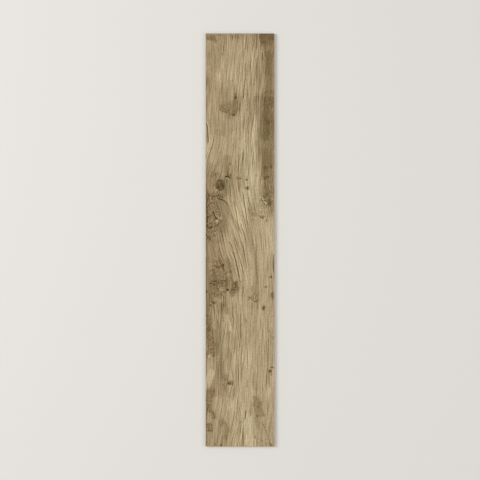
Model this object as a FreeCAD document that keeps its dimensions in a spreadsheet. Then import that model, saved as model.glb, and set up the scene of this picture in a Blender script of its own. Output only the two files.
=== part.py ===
import FreeCAD, Part
import os
import Sketcher

# A wood-look porcelain plank tile: one dry-pressed plate, fired, then ground square on its four sides.
# It lies on its back. The origin is the middle of the back, +Y runs along the plank,
# +X across it, and +Z points out of the printed face. All sizes are millimetres.

# Driving dimensions: alias, value, and what it measures.
DRIVING_SIZES = (
    ("tile_length", 1200.0, "ground length of the plank, along Y"),
    ("tile_width", 200.0, "ground width of the plank, along X"),
    ("tile_thickness", 9.0, "from the crests of the back ribs to the printed face"),
    ("face_arris", 0.6, "45 degree bevel that grinding leaves round the printed face"),
    ("key_border", 8.0, "plain margin of the back, round the keying recesses"),
    ("key_pitch", 32.0, "wanted distance from one keying recess to the next"),
    ("key_rib", 3.0, "crest width of the ribs between the recesses"),
    ("key_depth", 0.5, "depth of the recesses, which the tile adhesive fills"),
    ("key_draft", 30.0, "lean of the recess walls, in degrees, to release the press punch"),
)

doc = FreeCAD.newDocument("PlankTile")

sheet = doc.addObject("Spreadsheet::Sheet", "Sizes")
for row, (alias, value, meaning) in enumerate(DRIVING_SIZES, start=1):
    sheet.set(f"A{row}", meaning)
    sheet.set(f"B{row}", str(value))
    sheet.setAlias(f"B{row}", alias)
doc.recompute()


def keyed_span(side):
    """Expression for the stretch of one side that whole recess pitches share, up to one rib past the last."""
    return f"({side} - 2 * Sizes.key_border + Sizes.key_rib)"


def recess_count(side):
    """Expression for the recesses along one side: an even number, so that a rib runs along the middle."""
    return f"max(2; 2 * round({keyed_span(side)} / (2 * Sizes.key_pitch)))"


def recess_pitch(side):
    """Expression for the pitch that spreads those recesses evenly between the plain margins."""
    return f"({keyed_span(side)} / {recess_count(side)})"


def origin_feature(body, role):
    """One of the body's own planes or axes, found by its role."""
    return next(feature for feature in body.Origin.OriginFeatures if feature.Role == role)


def rectangle_sketch(body, name, left, below, across, along):
    """A rectangle on the back plane, its first corner left of and below the origin by the two expressions."""
    sketch = body.newObject("Sketcher::SketchObject", name)
    sketch.AttachmentSupport = (origin_feature(body, "XY_Plane"), [""])
    sketch.MapMode = "FlatFace"
    corners = [FreeCAD.Vector(x, y, 0) for x, y in ((-2, -2), (-1, -2), (-1, -1), (-2, -1))]
    for start, end in zip(corners, corners[1:] + corners[:1]):
        sketch.addGeometry(Part.LineSegment(start, end), False)
    bottom, right, top, left_side = range(4)
    origin_point = (-1, 1)
    for this, following in ((bottom, right), (right, top), (top, left_side), (left_side, bottom)):
        sketch.addConstraint(Sketcher.Constraint("Coincident", this, 2, following, 1))
    for level in (bottom, top):
        sketch.addConstraint(Sketcher.Constraint("Horizontal", level))
    for upright in (right, left_side):
        sketch.addConstraint(Sketcher.Constraint("Vertical", upright))
    sized = (
        ("left", left, ("DistanceX", bottom, 1, *origin_point, 2)),
        ("below", below, ("DistanceY", bottom, 1, *origin_point, 2)),
        ("across", across, ("DistanceX", bottom, 1, bottom, 2, 1)),
        ("along", along, ("DistanceY", right, 1, right, 2, 1)),
    )
    for constraint_name, expression, constraint in sized:
        index = sketch.addConstraint(Sketcher.Constraint(*constraint))
        sketch.renameConstraint(index, constraint_name)
        sketch.setExpression(f"Constraints.{constraint_name}", expression)
    return sketch


def edges_at_height(shape, height):
    """Names of the edges that lie wholly at one height."""
    tolerance = 1e-6
    return [
        f"Edge{number}"
        for number, edge in enumerate(shape.Edges, start=1)
        if all(abs(vertex.Z - height) < tolerance for vertex in edge.Vertexes)
    ]


body = doc.addObject("PartDesign::Body", "PlankTile")
body.Label = "plank_tile"

# The pressed plate, ground square to its length and width.
outline = rectangle_sketch(
    body,
    "PlateOutline",
    left="Sizes.tile_width / 2",
    below="Sizes.tile_length / 2",
    across="Sizes.tile_width",
    along="Sizes.tile_length",
)
plate = body.newObject("PartDesign::Pad", "Plate")
plate.Profile = outline
plate.setExpression("Length", "Sizes.tile_thickness")
doc.recompute()

# The arris that takes the sharpness off the four edges of the printed face.
bevel = body.newObject("PartDesign::Chamfer", "FaceArris")
bevel.Base = (plate, edges_at_height(plate.Shape, plate.Shape.BoundBox.ZMax))
bevel.setExpression("Size", "Sizes.face_arris")
doc.recompute()

# One keying recess in the corner of the back, with leaning walls, then the whole waffle of them.
recess_outline = rectangle_sketch(
    body,
    "RecessOutline",
    left="Sizes.tile_width / 2 - Sizes.key_border",
    below="Sizes.tile_length / 2 - Sizes.key_border",
    across=f"{recess_pitch('Sizes.tile_width')} - Sizes.key_rib",
    along=f"{recess_pitch('Sizes.tile_length')} - Sizes.key_rib",
)
recess = body.newObject("PartDesign::Pocket", "KeyRecess")
recess.Profile = recess_outline
recess.Reversed = True
recess.setExpression("Length", "Sizes.key_depth")
recess.setExpression("TaperAngle", "-Sizes.key_draft")
doc.recompute()

waffle = body.newObject("PartDesign::LinearPattern", "KeyWaffle")
waffle.Originals = [recess]
waffle.Direction = (origin_feature(body, "X_Axis"), [""])
waffle.Mode = "Spacing"
waffle.setExpression("Occurrences", recess_count("Sizes.tile_width"))
waffle.setExpression("Offset", recess_pitch("Sizes.tile_width"))
waffle.Direction2 = (origin_feature(body, "Y_Axis"), [""])
waffle.Mode2 = "Spacing"
waffle.setExpression("Occurrences2", recess_count("Sizes.tile_length"))
waffle.setExpression("Offset2", recess_pitch("Sizes.tile_length"))
waffle.Refine = False  # the recesses stand apart, so no seams need merging
body.Tip = waffle
doc.recompute()

# Every object has to be sound, and the waffle has to have taken material away, before anything is written.
for thing in doc.Objects:
    if "Invalid" in thing.State or "Error" in thing.State:
        raise RuntimeError(f"{thing.Label} did not compute: {thing.State}")
if body.Shape.isNull() or not body.Shape.isValid():
    raise RuntimeError(f"{body.Label} has no valid shape")
one_recess = bevel.Shape.Volume - recess.Shape.Volume
all_recesses = bevel.Shape.Volume - body.Shape.Volume
if one_recess <= 0 or all_recesses <= one_recess:
    raise RuntimeError("the keying recesses cut nothing")

os.makedirs("parts", exist_ok=True)
body.Shape.exportStep(f"parts/{body.Label}.step")
box = body.Shape.BoundBox
print(f"{body.Label}: {box.XLength:.3f} x {box.YLength:.3f} x {box.ZLength:.3f} mm")
print(f"volume {body.Shape.Volume:.1f} mm3, {waffle.Occurrences} x {waffle.Occurrences2} recesses,")
print(f"which take {all_recesses:.1f} mm3, {one_recess:.3f} mm3 each")
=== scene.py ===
import math

import bpy
import numpy as np
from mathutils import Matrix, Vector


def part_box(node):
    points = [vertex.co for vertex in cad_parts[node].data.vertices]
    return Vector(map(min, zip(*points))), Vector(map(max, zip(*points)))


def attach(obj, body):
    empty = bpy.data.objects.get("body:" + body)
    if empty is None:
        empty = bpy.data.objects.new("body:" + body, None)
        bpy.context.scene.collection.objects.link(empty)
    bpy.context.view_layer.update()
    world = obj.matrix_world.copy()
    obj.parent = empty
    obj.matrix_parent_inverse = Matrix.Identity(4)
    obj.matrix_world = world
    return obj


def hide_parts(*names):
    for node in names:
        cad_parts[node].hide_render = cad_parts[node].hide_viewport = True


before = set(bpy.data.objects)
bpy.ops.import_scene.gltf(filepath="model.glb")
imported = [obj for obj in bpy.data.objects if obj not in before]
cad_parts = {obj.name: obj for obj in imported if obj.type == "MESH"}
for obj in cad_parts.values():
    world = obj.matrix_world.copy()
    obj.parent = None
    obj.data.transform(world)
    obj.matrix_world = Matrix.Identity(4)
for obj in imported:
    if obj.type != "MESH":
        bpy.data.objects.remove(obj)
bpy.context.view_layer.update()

# The plate
# One long thin plate of porcelain, pressed dry, fired hard and ground square on its four sides.
# Its face is laid out here as a net of points, in millimetres from the top left corner:
# across the plank to the right, and down along it.
MM = 0.001
TILE = "plank_tile"
back_corner, face_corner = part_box(TILE)
WIDTH = (face_corner.x - back_corner.x) / MM
LENGTH = (face_corner.y - back_corner.y) / MM
THICKNESS = (face_corner.z - back_corner.z) / MM
ARRIS = 0.6          # bevel that grinding leaves round the printed face
FACE_COLUMNS = 180   # cells of the net across the plank
FACE_ROWS = 512      # cells of the net along it

across, down = np.meshgrid(
    np.linspace(ARRIS, WIDTH - ARRIS, FACE_COLUMNS + 1),
    np.linspace(ARRIS, LENGTH - ARRIS, FACE_ROWS + 1),
)


# The run of the grain
# The face copies a board of weathered oak. Its fibres run along the plank, lean left towards the main knot
# and swing right below it. The print is drawn in these bent lines: grain_across is the same along a fibre.
def smooth_step(start, end, value):
    """0 before start and 1 after end, with a soft change between them."""
    share = np.clip((value - start) / (end - start), 0, 1)
    return share * share * (3 - 2 * share)


def random_field(x, y, width, length, seed):
    """Smooth random values from -1 to 1, in patches of a width and a length in millimetres."""
    x, y = x / width, y / length
    left, top = np.floor(x).astype(int), np.floor(y).astype(int)
    column, row = left - left.min(), top - top.min()
    values = np.random.default_rng(seed).uniform(-1, 1, (row.max() + 2, column.max() + 2))
    right_share = smooth_step(0, 1, x - left)
    low_share = smooth_step(0, 1, y - top)
    upper = values[row, column] * (1 - right_share) + values[row, column + 1] * right_share
    lower = values[row + 1, column] * (1 - right_share) + values[row + 1, column + 1] * right_share
    return upper * (1 - low_share) + lower * low_share


# How far the fibres have moved to the right at each distance down the plank.
# At the top the left side stands straight, beside the main knot it leans most, and below it the middle does.
UPPER_LEAN = ((0, 0), (300, -21), (430, -26))
LEFT_LEAN = ((290, 0), (430, -36))
LOWER_LEAN = ((430, 0), (480, 6), (720, 56), (830, 58), (1050, 48), (1200, 30))
LEFT_SIDE = 70            # width of the left side, which leans by itself
SWING_LINE = 98           # where across the plank the fibres swing most below the main knot
SWING_REACH = 68          # distance from that line at which the swing fades
SWING_LOSS = (0.3, 0.85)  # share of the swing that is lost far left and far right of that line
WANDER = 2.5              # slow sideways wander of all fibres
upper_follow = np.clip(across / LEFT_SIDE, 0, 1)
left_follow = np.exp(-((across / LEFT_SIDE) ** 2))
swing_loss = np.where(across < SWING_LINE, *SWING_LOSS)
lower_follow = 1 - swing_loss * (1 - np.exp(-(((across - SWING_LINE) / SWING_REACH) ** 2)))
grain_across = across + WANDER * random_field(across, down, 60, 120, seed=1)
for lean, follow in ((UPPER_LEAN, upper_follow), (LEFT_LEAN, left_follow), (LOWER_LEAN, lower_follow)):
    grain_across -= np.interp(down, *zip(*lean)) * follow

# Knots push the fibres aside: middle across, middle down, reach across, reach along, push.
KNOT_PUSHES = {
    "main knot": (42, 440, 26, 46, 6),
    "left swirl": (28, 540, 34, 60, 7),
    "second swirl": (45, 715, 40, 70, 8),
    "low knot": (70, 1015, 18, 26, 4),
    "low speck": (187, 981, 12, 20, 3),
    "speck below the star": (169, 797, 10, 18, 3),
}
KNOT_HEART = 0.4          # share of the reach over which the push turns from left to right
for middle, level, reach, stretch, push in KNOT_PUSHES.values():
    aside = across - middle
    fade = np.exp(-((aside / reach) ** 2) - ((down - level) / stretch) ** 2)
    grain_across -= push * np.tanh(aside / (KNOT_HEART * reach)) * fade


# The printed stains
# Inks lay down what weathering did to the oak: brown and olive stains, and pale stretches between them.
# Each is (tone in percent of white, warmth, soft edge, row of (across, down, half width)).
# Warmth runs from -1, olive, to 1, red-brown.
BASE_TONE = 62.5
STAINS = {
    "right band": (-15, 0.1, 6, (
        (184, -12, 25), (184, 14, 25), (185, 30, 24), (187, 44, 22), (190, 60, 21), (191, 90, 19),
        (191, 130, 19), (190, 150, 19), (187, 170, 19), (184, 190, 22), (181, 230, 21), (181, 290, 20),
        (183, 318, 19), (182, 345, 20), (184, 398, 22), (187, 414, 20), (188, 432, 17), (182, 452, 20),
        (179, 474, 17), (186, 492, 11),
    )),
    "right band, far edge": (5, 0.1, 4, ((201, 70, 4), (200, 100, 6), (200, 150, 6), (201, 220, 4))),
    "right band, far edge below": (6, 0.1, 5, ((201, 340, 6), (201, 440, 6))),
    "right band, top": (-5, 0.3, 8, ((182, -8, 20), (178, 24, 12))),
    "right band, lighter": (3, 0.3, 5, ((180, 40, 6), (188, 46, 8))),
    "right band, core": (-5, 0.0, 6, ((181, 58, 8), (182, 90, 9), (182, 116, 7))),
    "right band, above the patch": (-4, -0.1, 5, ((176, 172, 7), (192, 172, 7))),
    "right band, by the edge": (-4, 0.0, 5, ((197, 262, 7), (197, 298, 6))),
    "right band, olive blot": (-4, -0.7, 3, ((165, 24, 5), (168, 34, 5))),
    "right band, dark patch": (-8, -0.2, 3, ((176, 192, 9), (192, 192, 9), (190, 207, 9), (174, 207, 9))),
    "right band, red": (-8, 0.4, 6, ((178, 226, 11), (177, 246, 12), (184, 255, 8))),
    "right band, olive": (-9, -0.6, 6, ((178, 262, 10), (178, 290, 10), (176, 305, 8))),
    "right band, olive mottle": (-5, -0.4, 6, ((154, 282, 6), (155, 298, 5))),
    "right band, brown": (-5, 0.3, 9, ((178, 350, 14), (178, 385, 14))),
    "right band, lighter below": (5, 0.0, 5, ((173, 430, 5), (178, 440, 4))),
    "right band, mottle": (-3, 0.0, 8, ((176, 410, 10), (178, 462, 10), (168, 468, 6))),
    "beside the right band, top": (-6, 0.1, 8, ((150, -8, 11), (148, 22, 11), (150, 46, 8))),
    "beside the right band": (-7, 0.2, 9, ((158, 66, 8), (156, 110, 9), (155, 150, 10), (153, 186, 7))),
    "beside the right band, below": (-8, 0.2, 6, (
        (153, 318, 6), (157, 338, 9), (157, 376, 6), (156, 392, 4),
    )),
    "top": (-5, 0.1, 12, ((-10, 4, 12), (210, 4, 12))),
    "top edge, left": (-4, 0.2, 6, ((-5, 2, 7), (36, 2, 7))),
    "top left": (-13, 0.0, 4, ((9, 13, 6), (22, 14, 7), (30, 23, 4))),
    "top left, tail": (-3, 0.0, 6, ((20, 30, 10), (28, 45, 8))),
    "left, upper": (-4, 0.1, 9, ((6, 64, 10), (14, 108, 11), (6, 180, 8), (3, 250, 6))),
    "top, middle": (-7, 0.0, 5, ((78, 8, 6), (85, 9, 5))),
    "pale, upper middle": (2, -0.4, 14, ((82, 60, 18), (92, 130, 16))),
    "upper knot, halo": (-5, 0.1, 10, ((50, 168, 12), (58, 190, 18), (66, 212, 28), (64, 236, 20))),
    "upper knot, shade": (-7, 0.1, 8, ((50, 212, 11), (66, 214, 17), (84, 213, 15), (80, 228, 13))),
    "upper knot, top": (-7, -0.1, 7, ((86, 154, 5), (86, 172, 7), (88, 196, 9))),
    "upper knot, left": (-6, 0.0, 5, ((44, 214, 5), (50, 222, 7), (62, 226, 6))),
    "upper knot, right": (-4, 0.1, 6, ((87, 220, 6), (83, 233, 7))),
    "upper right, faint": (-5, 0.1, 8, ((134, 198, 8), (126, 255, 8))),
    "beside the upper band": (-8, 0.2, 7, ((150, 188, 9), (153, 230, 8), (155, 276, 6), (156, 310, 5))),
    "middle patch": (-5, -0.1, 9, ((36, 256, 12), (56, 268, 12), (70, 283, 8), (30, 288, 9))),
    "left, brown by the edge": (-5, 0.1, 8, ((22, 60, 12), (30, 100, 14), (50, 110, 8))),
    "top, brown": (-4, 0.0, 7, ((46, 4, 10), (49, 24, 9))),
    "left, bright": (8, 0.2, 4, ((4, 326, 5), (6, 342, 5))),
    "brown above the main knot": (-9, -0.2, 6, ((63, 362, 11), (60, 384, 8), (60, 404, 6))),
    "above the main knot": (-4, 0.1, 12, ((50, 376, 12), (56, 395, 15))),
    "left of the main knot": (-7, 0.4, 10, ((14, 390, 14), (12, 430, 16), (14, 470, 16))),
    "around the main knot": (-10, 0.0, 9, ((30, 412, 12), (45, 440, 21), (50, 464, 15))),
    "right of the main knot": (-4, -0.3, 7, ((73, 446, 6), (80, 470, 7))),
    "olive by the main knot": (-8, -0.7, 9, ((66, 420, 8), (72, 440, 10), (64, 462, 9))),
    "pale band": (5, -0.5, 7, ((143, 335, 6), (137, 380, 8), (139, 425, 7), (134, 470, 10))),
    "pale right half": (2, -0.1, 22, ((140, 300, 30), (150, 600, 40), (150, 1000, 40))),
    "pale by the middle": (5, -0.2, 9, ((112, 285, 9), (110, 340, 8))),
    "pale, left of the band": (4, -0.2, 7, ((127, 298, 6), (132, 326, 6))),
    "pale band, right": (4, -0.4, 7, ((148, 408, 6), (150, 446, 6))),
    "pale above the slants": (8, -0.3, 8, ((116, 458, 7), (122, 500, 7))),
    "right of the slants": (-5, 0.0, 8, ((148, 545, 7), (150, 588, 8))),
    "pale middle": (5, -0.4, 9, ((106, 462, 10), (98, 505, 13), (102, 550, 11), (106, 592, 8))),
    "left swirl, shade": (-10, 0.2, 9, ((8, 475, 12), (18, 510, 20), (22, 545, 22), (16, 580, 16))),
    "left swirl, right": (-11, -0.2, 9, (
        (44, 492, 14), (50, 520, 13), (52, 552, 12), (47, 580, 9), (40, 604, 9),
    )),
    "left swirl, low": (-6, 0.2, 12, ((14, 606, 16), (16, 648, 16))),
    "left swirl, tail": (-6, 0.1, 9, ((27, 604, 10), (31, 626, 11), (31, 644, 8))),
    "brown square": (-15, 0.0, 2.5, ((94, 420.5, 4.5), (101, 421, 4.5))),
    "above the brown square": (-5, 0.1, 8, ((100, 404, 9), (104, 432, 12))),
    "left swirl, top": (-7, 0.1, 6, ((22, 469, 7), (40, 472, 9))),
    "left swirl, edge": (-4, 0.2, 5, ((4, 510, 6), (4, 535, 8), (4, 570, 7))),
    "beside the long check": (-5, 0.1, 8, ((84, 604, 10), (92, 632, 8))),
    "low, right of the middle": (-5, 0.0, 6, ((144, 990, 6), (145, 1030, 7))),
    "brown patch": (-8, 0.2, 2.5, ((136, 524, 6), (144, 526, 7.5))),
    "right of the middle": (-6, -0.1, 8, ((135, 506, 10), (134, 545, 8), (132, 590, 9), (137, 626, 9))),
    "right swirl, shade": (-5, -0.5, 7, ((164, 492, 8), (170, 512, 9), (164, 530, 9))),
    "right edge, brown": (-7, 0.3, 6, ((192, 506, 9), (188, 526, 7))),
    "pale right": (5, -0.3, 9, ((190, 550, 7), (186, 580, 14), (188, 625, 13))),
    "pale right, low": (2, -0.3, 9, ((162, 640, 8), (166, 690, 12), (166, 728, 10))),
    "second swirl, shade": (-11, 0.1, 9, ((33, 668, 13), (33, 694, 21), (35, 724, 28), (30, 754, 22))),
    "second swirl, middle": (-3, 0.0, 10, ((22, 722, 16), (50, 722, 16))),
    "second swirl, right": (-11, 0.0, 8, ((62, 664, 9), (70, 690, 12), (70, 735, 14))),
    "second swirl, blot": (-16, 0.0, 5, ((88, 728, 8), (89, 742, 8), (78, 755, 9))),
    "second swirl, edge": (-8, 0.2, 5, ((2, 655, 6), (3, 700, 7), (3, 745, 7))),
    "below the second swirl": (-8, 0.0, 7, ((26, 788, 8), (42, 790, 9), (38, 806, 8))),
    "below the blot": (-3, 0.0, 9, ((66, 788, 9), (140, 790, 8))),
    "below the star": (-4, 0.2, 8, ((142, 804, 9), (144, 834, 7))),
    "second swirl, red": (-5, 0.6, 5, ((34, 724, 5), (48, 726, 7))),
    "left edge, below the second swirl": (-8, 0.3, 8, (
        (2, 752, 6), (5, 785, 11), (6, 815, 10), (6, 850, 11),
    )),
    "brown band": (-9, 0.4, 4, ((143, 640, 5), (145, 680, 6), (149, 720, 5), (149, 770, 4))),
    "right edge, dark": (-15, 0.3, 4, ((200, 646, 3), (198.5, 672, 5), (199.5, 690, 3))),
    "olive by the star": (-6, -0.8, 6, ((136, 742, 6), (138, 758, 6))),
    "star, shade": (-4, 0.8, 6, ((130, 768, 7), (144, 778, 7), (138, 795, 6))),
    "right edge knot": (-8, -0.2, 5, ((198, 752, 7), (195, 768, 8))),
    "olive patch": (-10, -0.3, 6, ((52, 788, 8), (59, 806, 10))),
    "left, brown": (-4, 0.2, 5, ((14, 828, 7), (14, 842, 7))),
    "left, dark": (-10, 0.2, 7, ((14, 865, 12), (14, 890, 12), (17, 908, 15), (20, 926, 13))),
    "left, olive": (-8, -0.6, 6, ((36, 846, 6), (40, 872, 8), (42, 905, 9), (44, 930, 8))),
    "low, left of the middle": (-5, 0.0, 8, ((68, 874, 9), (78, 888, 9))),
    "red stripe": (-9, 0.4, 6, ((44, 948, 6), (46, 968, 6), (48, 1000, 6))),
    "olive stripe": (-5, -0.4, 5, ((62, 918, 6), (63, 945, 6), (67, 972, 5))),
    "left side": (-4, 0.1, 18, (
        (8, 480, 30), (14, 600, 38), (18, 740, 44), (14, 860, 40), (16, 940, 34), (26, 1010, 30),
    )),
    "left side, low": (-3, 0.1, 14, ((8, 1040, 20), (14, 1120, 22), (26, 1190, 34))),
    "left edge, upper": (-5, 0.3, 6, ((-3, 20, 6), (-3, 300, 6))),
    "left edge, low": (-5, 0.3, 5, ((-3, 1108, 6), (-3, 1195, 6))),
    "left edge, warm": (-8, 0.5, 7, ((-4, 380, 7), (-4, 640, 8), (-4, 940, 7), (-4, 1200, 8))),
    "pale lens, top": (5, 0.1, 3, ((13, 951, 6), (11, 972, 7))),
    "pale lens": (11, -0.6, 3, ((17, 985, 10), (11, 1000, 10), (7, 1018, 9), (5, 1028, 6))),
    "right of the lens": (-2, 0.2, 6, ((33, 962, 6), (33, 1000, 6), (36, 1020, 6))),
    "low knot, shade": (-8, 0.0, 7, ((60, 1000, 9), (66, 1018, 12), (58, 1032, 8))),
    "left, below the lens": (-10, 0.1, 7, ((14, 1040, 11), (12, 1070, 10), (11, 1084, 8))),
    "left, blot": (-7, -0.1, 5, ((10, 1094, 7), (20, 1102, 8), (26, 1116, 5))),
    "left, pinkish": (4, 0.7, 5, ((26, 1062, 5), (26, 1088, 5))),
    "below the low knot": (-5, 0.1, 7, ((34, 1044, 7), (50, 1050, 6))),
    "left, square": (-11, 0.1, 3, ((10, 1139, 8), (13, 1150, 8))),
    "bottom, olive": (-8, -0.6, 7, ((50, 1128, 8), (62, 1146, 10), (58, 1174, 10))),
    "wedge": (-11, -0.4, 3.5, (
        (142, 1057, 4), (149, 1064, 8), (143, 1080, 6), (158, 1074, 6), (150, 1092, 8), (150, 1109, 5),
        (168, 1108, 5), (158, 1092, 8),
    )),
    "wedge, right": (-2, -0.2, 3, ((161, 1072, 5), (160, 1084, 6))),
    "wedge, tail": (-8, -0.3, 5, ((150, 1118, 7), (155, 1146, 5))),
    "pale bottom": (9, -0.4, 7, ((129, 1115, 5), (130, 1150, 10), (127, 1190, 15))),
    "bottom right, band": (-5, 0.0, 4, (
        (164, 1132, 3), (172, 1143, 4), (179, 1158, 4), (184, 1176, 4), (189, 1200, 5),
    )),
    "pale, left of the pale bottom": (6, -0.2, 9, ((72, 1062, 4), (86, 1100, 7), (88, 1145, 8))),
    "bottom right": (-4, 0.2, 8, ((193, 1136, 5), (194, 1170, 5))),
    "right edge, pale": (6, -0.1, 6, ((197, 922, 6), (197, 956, 6))),
    "right, low mottle": (-5, 0.0, 8, ((189, 868, 9), (192, 894, 8))),
    "pale lower middle": (4, -0.3, 14, (
        (122, 930, 10), (122, 1000, 14), (112, 1060, 16), (112, 1130, 18),
    )),
    "pale right of the middle": (4, -0.2, 12, ((188, 1036, 11), (191, 1090, 11))),
    "pale left of the middle": (4, 0.1, 7, ((66, 836, 8), (71, 856, 7))),
}


def blot_gap(spine):
    """How far each point of the face lies outside a blot, in millimetres."""
    gap = np.full(across.shape, np.inf)
    for (x0, y0, half0), (x1, y1, half1) in zip(spine, spine[1:]):
        step_x, step_y = x1 - x0, y1 - y0
        share = ((across - x0) * step_x + (down - y0) * step_y) / (step_x ** 2 + step_y ** 2)
        share = np.clip(share, 0, 1)
        distance = np.hypot(across - x0 - share * step_x, down - y0 - share * step_y)
        gap = np.minimum(gap, distance - half0 - share * (half1 - half0))
    return gap


# Stains soak along the fibres, so their edges are ragged in long thin tongues.
tongues = 0.4 * random_field(grain_across, down, 3.5, 38, seed=2)
tongues += 0.4 * random_field(grain_across, down, 9, 60, seed=3)
tone = np.full(across.shape, BASE_TONE)
warmth = 0.2 * random_field(across, down, 45, 70, seed=15)
warmth += 0.2 * random_field(grain_across, down, 9, 60, seed=16)
for stain_tone, stain_warmth, soft_edge, spine in STAINS.values():
    soaked = smooth_step(soft_edge, -soft_edge, blot_gap(spine) + soft_edge * tongues)
    tone += stain_tone * soaked
    warmth += stain_warmth * soaked


# The grain and the burls
# Early and late wood alternate in fine streaks; round the knots the fibres curl into a dark mottle.
# The stains hold the broad changes of tone, so the mean round each point is taken off streaks and mottle.
def local_mean(values, columns, rows):
    """Mean of each point of the net and its neighbours, so many columns and rows to each side."""
    for reach, axis in ((rows, 0), (columns, 1)):
        shifted = [np.roll(values, shift, axis=axis) for shift in range(-reach, reach + 1)]
        values = sum(shifted) / len(shifted)
    return values


# Each fibre is followed from a start of its own, so that its changes don't line up with its neighbours'.
FIBRE_STARTS = 120
fibre_down = down + FIBRE_STARTS * random_field(grain_across, 0 * down, 3, 1, seed=24)
STREAK_TONE = 4.8
STREAK_CONTRAST = 2.2     # how hard the edges of the finer streaks are
streaks = 0.46 * np.tanh(STREAK_CONTRAST * random_field(grain_across, fibre_down, 1.9, 50, seed=4))
streaks += 0.12 * np.tanh(STREAK_CONTRAST * random_field(grain_across, fibre_down, 3.2, 85, seed=17))
streaks += 0.07 * random_field(grain_across, fibre_down, 5.5, 110, seed=5)
streaks += 0.06 * random_field(grain_across, fibre_down, 11, 160, seed=6)
streaks -= 0.7 * local_mean(streaks, columns=5, rows=0)
SPECKLE_TONE = 4.0
speckle = random_field(across, down, 3.0, 3.4, seed=18)
speckle -= local_mean(speckle, columns=4, rows=2)

# The grain stands out most in the middle and on the right.
MIDDLE_LINE = 112
MIDDLE_REACH = 28
RIGHT_SIDE = (130, 165)   # where the right side starts, and where it is reached in full
busy = 0.85 + 0.25 * np.exp(-(((across - MIDDLE_LINE) / MIDDLE_REACH) ** 2))
busy += 0.12 * smooth_step(*RIGHT_SIDE, across)
# It fades where the wood is bleached or deeply stained: share that is lost, and row of the blot.
CALM = {
    "right band": (0.60, ((190, -10, 20), (190, 200, 18), (184, 300, 18), (186, 400, 14))),
    "upper middle": (0.30, ((84, 40, 16), (86, 110, 14))),
    "upper knot": (0.40, ((50, 212, 10), (86, 212, 12))),
    "pale right": (0.30, ((188, 560, 10), (186, 630, 12))),
    "blot": (0.50, ((90, 727, 9), (88, 750, 9))),
    "brown square": (0.60, ((94, 420, 5), (101, 421, 5))),
    "brown patch": (0.60, ((136, 524, 6), (144, 526, 7))),
    "below the lens": (0.60, ((14, 1038, 12), (12, 1085, 12))),
    "lens": (0.60, ((12, 960, 6), (13, 1000, 10))),
    "wedge": (0.70, ((149, 1068, 10), (157, 1106, 14))),
    "pale bottom": (0.15, ((132, 1150, 8), (131, 1195, 10))),
    "left square": (0.50, ((10, 1139, 8), (13, 1150, 8))),
}
CALM_EDGE = 5
for calm_share, spine in CALM.values():
    busy *= 1 - calm_share * smooth_step(CALM_EDGE, -CALM_EDGE, blot_gap(spine))

# Where the fibres curl: tone of the mottle, and row of the blot.
BURLS = {
    "top left": (10, ((10, 12, 8), (30, 30, 10))),
    "right band": (6, ((182, 170, 14), (180, 230, 16), (178, 320, 16))),
    "right band, low": (8, ((180, 390, 14), (182, 420, 14), (182, 480, 16))),
    "upper knot": (7, ((50, 215, 10), (86, 215, 12))),
    "main knot": (7, ((20, 420, 14), (30, 450, 14), (50, 466, 12))),
    "left swirl": (16, ((12, 480, 14), (22, 520, 22), (20, 560, 20), (14, 590, 14))),
    "right swirl": (19, ((164, 472, 9), (168, 500, 13), (166, 530, 11))),
    "second swirl": (12, ((28, 668, 18), (34, 705, 24), (34, 745, 26), (30, 768, 20))),
    "blot": (14, ((90, 727, 9), (88, 750, 9))),
    "left edge": (9, ((8, 800, 9), (12, 860, 14), (14, 910, 18), (10, 945, 10))),
    "low knot": (9, ((62, 1005, 12), (62, 1028, 12))),
    "bottom left": (8, ((10, 1060, 12), (14, 1100, 14), (12, 1150, 12))),
    "bottom": (7, ((56, 1130, 12), (62, 1170, 12))),
    "bottom right": (9, ((146, 1175, 8), (170, 1190, 10))),
    "bottom right, band": (13, ((164, 1131, 6), (178, 1152, 8), (185, 1178, 7), (190, 1202, 7))),
    "wedge": (6, ((154, 1068, 8), (156, 1084, 8))),
    "right edge": (7, ((194, 750, 6), (194, 900, 8))),
}
BURL_EDGE = 6
FULL_BURL = 16            # tone from which on the curls have taken the place of the straight grain
burl = np.zeros(across.shape)
for burl_tone, spine in BURLS.values():
    burl = np.maximum(burl, burl_tone * smooth_step(BURL_EDGE, -BURL_EDGE, blot_gap(spine)))
burl_share = np.clip(burl / FULL_BURL, 0, 1)
busy *= 1 - 0.6 * burl_share
# The mottle is made of small curls, with thin dark threads between them.
curl_x = across + 3 * random_field(across, down, 8, 9, seed=7)
curl_y = down + 4 * random_field(across, down, 8, 9, seed=8)
curls = 0.9 * np.tanh(2 * random_field(curl_x, curl_y, 2.7, 3.0, seed=9))
curls += 0.12 * random_field(curl_x, curl_y, 7, 8, seed=10)
curls -= local_mean(curls, columns=4, rows=2)
threads = smooth_step(0.14, 0.02, np.abs(random_field(curl_x, curl_y, 5, 5, seed=23)))
tone += STREAK_TONE * busy * streaks + SPECKLE_TONE * speckle + burl * (0.8 * curls - 0.15 * threads)

# Round some hearts the mottle runs in broken rings: middle across, middle down, reach, spacing and tone.
RINGS = {
    "left swirl": (38, 538, 46, 7.0, 1),
    "second swirl": (50, 742, 52, 8.0, 1),
    "low knot": (66, 1016, 24, 5.0, 4),
    "star": (140, 772, 26, 6.0, 3),
}
ring_shift = 1.1 * random_field(across, down, 15, 15, seed=19)
ring_shift += 0.4 * random_field(across, down, 6, 6, seed=20)
ring_breaks = smooth_step(-0.5, 0.4, random_field(across, down, 9, 9, seed=21))
for middle, level, reach, spacing, ring_tone in RINGS.values():
    radius = np.hypot(across - middle, down - level)
    rings = np.sin(2 * np.pi * (radius / spacing + ring_shift))
    tone += ring_tone * rings * ring_breaks * smooth_step(reach, 0.5 * reach, radius)

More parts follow.
